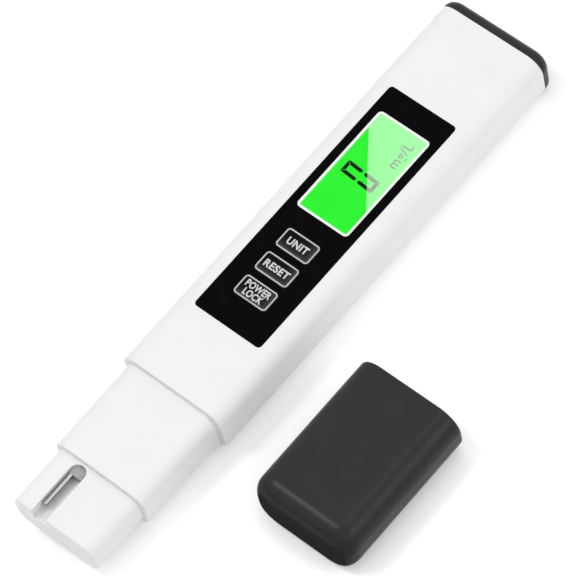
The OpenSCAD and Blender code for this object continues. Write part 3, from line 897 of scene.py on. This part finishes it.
def cells(can_metal, gasket_rubber):
    """Two button cells, one of them upside down: a can with a plus mark, a gasket and a smaller lid."""
    y = max(CELL_PLACES)
    rim_z = cells_high.z - 0.5 * MM
    can = rod("cell_can", (CELL_X, y, cells_low.z), (CELL_X, y, rim_z), CELL_RADIUS, 64)
    rim(can, 2, cells_low.z, 0.3 * MM, 4)
    rim(can, 2, rim_z, 0.35 * MM, 4)
    long, thin, depth = 1.1 * MM, 0.18 * MM, 0.04 * MM
    for x_half, y_half in ((long, thin), (thin, long)):
        carve(can, block("mark", (CELL_X - x_half, y - y_half, cells_low.z - depth),
                         (CELL_X + x_half, y + y_half, cells_low.z + depth)))
    gasket = rod("cell_gasket", (CELL_X, y, rim_z - 0.3 * MM), (CELL_X, y, rim_z + 0.12 * MM), 5.05 * MM, 64)
    rim(gasket, 2, rim_z + 0.12 * MM, 0.08 * MM, 2)
    lid = rod("cell_lid", (CELL_X, y, rim_z - 0.2 * MM), (CELL_X, y, cells_high.z), 4.8 * MM, 64)
    rim(lid, 2, cells_high.z, 0.3 * MM, 4)
    middle = Vector((CELL_X, 0, (cells_low.z + cells_high.z) / 2))
    turn_over = Matrix.Translation(middle) @ Matrix.Rotation(math.pi, 4, "X") @ Matrix.Translation(-middle)
    for piece, finish in ((can, can_metal), (gasket, gasket_rubber), (lid, can_metal)):
        smooth(piece)
        other = twin(piece, piece.name + "_turned", (0, 0, 0))
        other.data.transform(turn_over)
        stands_for = ["button_cells"] if piece is can else []
        install(piece, "battery_drawer", finish, stands_for)
        install(other, "battery_drawer", finish)


def link_strip(material):
    """The strip that joins the two cells, with a pressed dimple over each."""
    low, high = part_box("cell_link")
    strip = rounded_bar("link_strip", low, high, 0.5 * MM, 2, 4)
    for y in CELL_PLACES:
        dimple = rod("dimple", (CELL_X, y, high.z - 0.1 * MM), (CELL_X, y, high.z + 0.12 * MM), 1.1 * MM, 32)
        rim(dimple, 2, high.z + 0.12 * MM, 0.1 * MM, 3)
        fuse(strip, dimple)
    soften(strip, 0.05 * MM, 2, 50)
    smooth(strip)
    return install(strip, "battery_drawer", material, ["cell_link"])


def contact_fingers(material):
    """Two spring strips, each with a finger under its cell, a post and a tail under the board."""
    for node in ("battery_contact_positive", "battery_contact_negative"):
        low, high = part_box(node)
        thick = 0.3 * MM
        finger = block(node + "_strip", (chassis_high.x - thick, low.y, low.z), (high.x, high.y, low.z + thick))
        post = block("post", (chassis_high.x - thick, low.y, low.z), (chassis_high.x, high.y, high.z))
        tail = block("tail", (low.x, low.y, high.z - thick), (chassis_high.x, high.y, high.z))
        bevel_where(finger, lambda a, b: along(2)(a, b) and level(0, high.x)(a, b), 0.9 * MM, 5)
        fuse(finger, post, tail)
        soften(finger, 0.07 * MM, 2, 50)
        smooth(finger)
        install(finger, "tester", material, [node])


def seal_ring(node, body, material):
    """A moulded ring with a rounded section, lying in its groove."""
    low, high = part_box(node)
    ring = rounded_bar(node + "_ring", low, high, 2.8 * MM)
    through = Vector((-1, 0.8, 0.8)) * MM
    carve(ring, rounded_bar("hole", low + through, high - through, 2.0 * MM))
    soften(ring, 0.3 * MM, 4, 50)
    smooth(ring)
    return install(ring, body, material, [node])


def fillet_inset(radius, depth):
    """How far a fillet's surface lies inside the flat one, at a depth from the end."""
    return radius - math.sqrt(radius ** 2 - max(radius - depth, 0) ** 2)


def round_end(piece, low, high, way, radii, rings):
    """Closes in a bar's end towards way on X, ring after ring. The radii are for its sides, top and bottom."""
    side, top, bottom = radii
    end_x = high.x if way > 0 else low.x
    activate(piece)
    bpy.ops.object.mode_set(mode="EDIT")
    bpy.ops.mesh.select_mode(type="FACE")
    bpy.ops.mesh.select_all(action="DESELECT")
    form = bmesh.from_edit_mesh(piece.data)
    for face in form.faces:
        face.select_set(face.normal.x * way > 0.99)
    bmesh.update_edit_mesh(piece.data)
    place, size = Vector((end_x - way * max(radii), (low.y + high.y) / 2, (low.z + high.z) / 2)), high - low
    for ring in range(1, rings + 1):
        depth = max(radii) * (1 - math.sin(math.pi / 2 * ring / rings))
        over, under = fillet_inset(top, depth), fillet_inset(bottom, depth)
        new_place = Vector((end_x - way * depth, place.y, (low.z + under + high.z - over) / 2))
        new_size = high - low - Vector((0, 2 * fillet_inset(side, depth), over + under))
        bpy.ops.mesh.extrude_region_move(TRANSFORM_OT_translate={"value": new_place - place})
        bpy.ops.transform.resize(value=(1, new_size.y / size.y, new_size.z / size.z), center_override=new_place)
        place, size = new_place, new_size
    bpy.ops.object.mode_set(mode="OBJECT")


def protective_shell(material):
    """The loose cap: open at +X, with its closed end rounded all round like a bar of soap."""
    outer_low = cap_low + CAP_DRAFT
    shell = rounded_bar("protective_shell", outer_low + Vector((max(CAP_END), 0, 0)),
                        cap_high - Vector((max(CAP_MOUTH), 0, 0)), CAP_CORNER)
    round_end(shell, outer_low, cap_high, -1, CAP_END, 16)
    round_end(shell, outer_low, cap_high, 1, CAP_MOUTH, 6)
    low = cap_low + CAP_WALL
    high = Vector((cap_high.x + 1 * MM, cap_high.y - CAP_WALL.y, cap_high.z - CAP_WALL.z))
    hollow = rounded_bar("hollow", low + Vector((max(CAP_INSIDE_END), 0, 0)), high, CAP_INSIDE_CORNER)
    round_end(hollow, low, high, -1, CAP_INSIDE_END, 10)
    carve(shell, hollow)
    smooth(shell)
    return install(shell, "cap", material, ["protective_cap"])


# --- Camera, floor and light -------------------------------------------------------------------

AIM = Vector((-21.8, -5.0, 13.9)) * MM
AZIMUTH, ELEVATION, ROLL = (math.radians(a) for a in (-35.88, 60.39, -15.89))
DISTANCE = 0.9952
SENSOR = 36.0
LENS = 278.9
SKY_TILT = 0.22
SKY_STRENGTH = 0.93
SKY_DIM, SKY_FULL = 0.07, 0.22


def set_camera():
    """A long lens, above and in front of the tip's right side, turned so that the tester lies aslant."""
    back = Vector((math.sin(AZIMUTH) * math.cos(ELEVATION), -math.cos(AZIMUTH) * math.cos(ELEVATION),
                   math.sin(ELEVATION)))
    right = Vector((0, 0, 1)).cross(back).normalized()
    up = back.cross(right)
    turned_right = math.cos(ROLL) * right + math.sin(ROLL) * up
    turned_up = -math.sin(ROLL) * right + math.cos(ROLL) * up
    data = bpy.data.cameras.new("camera")
    data.sensor_width = SENSOR
    data.lens = LENS
    data.clip_start = 0.05
    camera = bpy.data.objects.new("camera", data)
    turn = Matrix((turned_right, turned_up, back)).transposed().to_4x4()
    camera.matrix_world = Matrix.Translation(AIM + back * DISTANCE) @ turn
    bpy.context.scene.collection.objects.link(camera)
    bpy.context.scene.camera = camera


def soft_light(name, place, width, height, power, target=(0, -0.01, 0)):
    """A large soft panel facing the tester."""
    data = bpy.data.lights.new(name, "AREA")
    data.shape = "RECTANGLE"
    data.size = width
    data.size_y = height
    data.energy = power
    light = bpy.data.objects.new(name, data)
    light.location = place
    light.rotation_mode = "QUATERNION"
    light.rotation_quaternion = (Vector(target) - Vector(place)).to_track_quat("-Z", "Y")
    light.visible_camera = False
    bpy.context.scene.collection.objects.link(light)


def set_studio():
    """A pale floor under a white sky, with a key light past the tip, a strip above and a fill on the near side."""
    bpy.ops.object.select_all(action="DESELECT")
    bpy.ops.mesh.primitive_plane_add(size=8, location=(0, 0, -0.1 * MM))
    floor = bpy.context.object
    floor.name = "floor"
    settle(floor)
    floor.data.materials.append(floor_white())
    set_sky()
    bpy.context.scene.view_settings.view_transform = "Standard"
    soft_light("key_light", (-0.29, 0.44, 0.97), 0.24, 0.24, 2.9)
    soft_light("strip_light", (0.20, -0.01, 0.96), 0.30, 0.14, 0.40)
    soft_light("fill_light", (0.28, -0.76, 0.60), 0.50, 0.50, 1.6)


def set_sky():
    """A white sky that is nearly black at the horizon, and further up beyond the tip."""
    world = bpy.data.worlds.new("sky")
    world.use_nodes = True
    nodes, links = world.node_tree.nodes, world.node_tree.links
    place = nodes.new("ShaderNodeTexCoord")
    split = nodes.new("ShaderNodeSeparateXYZ")
    tilt = nodes.new("ShaderNodeMath")
    ramp = nodes.new("ShaderNodeValToRGB")
    tilt.operation = "MULTIPLY_ADD"
    tilt.inputs[1].default_value = SKY_TILT
    links.new(place.outputs["Generated"], split.inputs[0])
    links.new(split.outputs[0], tilt.inputs[0])
    links.new(split.outputs[2], tilt.inputs[2])
    links.new(tilt.outputs[0], ramp.inputs["Fac"])
    links.new(ramp.outputs["Color"], nodes["Background"].inputs["Color"])
    nodes["Background"].inputs["Strength"].default_value = SKY_STRENGTH
    dim, full = ramp.color_ramp.elements
    dim.position, full.position = SKY_DIM, SKY_FULL
    dim.color, full.color = (0.03, 0.03, 0.03, 1), (1, 1, 1, 1)
    bpy.context.scene.world = world


# --- Making it all -----------------------------------------------------------------------------

set_camera()
set_studio()

white = white_abs()
charcoal = charcoal_abs().material
silver = silver_print()
white_ink = white_print()
ink = display_ink()

housing_shell(white)
probe_shell(white)
electrode_seals(seal_compound())
electrodes(electrode_metal())
front_sheet(panel_print())
border_ring(border_print())
clear_pane(pane_with_painted_glare((border_low.z + border_high.z) / 2))
for key_node in KEY_NODES:
    key_piece(key_node)
display_digit(ink)
printed_words("display_unit", "mg/L", Vector((UNIT_CENTRE.x, UNIT_CENTRE.y, film_high.z + PRINT_THICKNESS / 2)),
              3.5 * MM, 7.2 * MM, 0.0, 0.008, ink, "tester")
end_piece(charcoal)
drawer_frame(charcoal)
spring = nickel_spring()
rubber = nitrile()
cells(cell_steel(), rubber)
link_strip(spring)
contact_fingers(spring)
seal_ring("battery_cap_seal", "battery_drawer", rubber)
seal_ring("probe_seal", "tester", rubber)
protective_shell(cap_abs(cap_low))

NODE_FINISHES = {
    "front_polariser": lit_film(),
    "rear_polariser": lit_film(),
    "lcd_front_glass": display_glass(),
    "lcd_rear_glass": display_glass(),
    "backlight_diffuser": milky_guide(),
    "reflector_sheet": reflector_film(),
    "backlight_leds": lamp_resin(),
    "display_holder": natural_abs(),
    "chassis": natural_abs(),
    "contact_strip": striped_rubber(),
    "circuit_board": solder_mask(),
    "controller_chip": moulded_resin(),
    "switch_bases": moulded_resin(),
    "clock_crystal": drawn_steel(),
    "switch_covers": drawn_steel(),
    "board_components": ceramic_tan(),
    "board_screws": zinc_plate(),
    "switch_domes": spring,
    "mode_plunger": grey_acetal(),
    "clear_plunger": grey_acetal(),
    "power_plunger": grey_acetal(),
    "temperature_sensor": potting_epoxy(),
    "potting_plug": potting_epoxy(),
    "electrode_leads": wire_cover("red_cover", (0.42, 0.03, 0.02)),
    "sensor_leads": wire_cover("blue_cover", (0.03, 0.06, 0.32)),
}
for node_name, node_material in NODE_FINISHES.items():
    node_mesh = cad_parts[node_name].data
    node_mesh.materials.clear()
    node_mesh.materials.append(node_material)
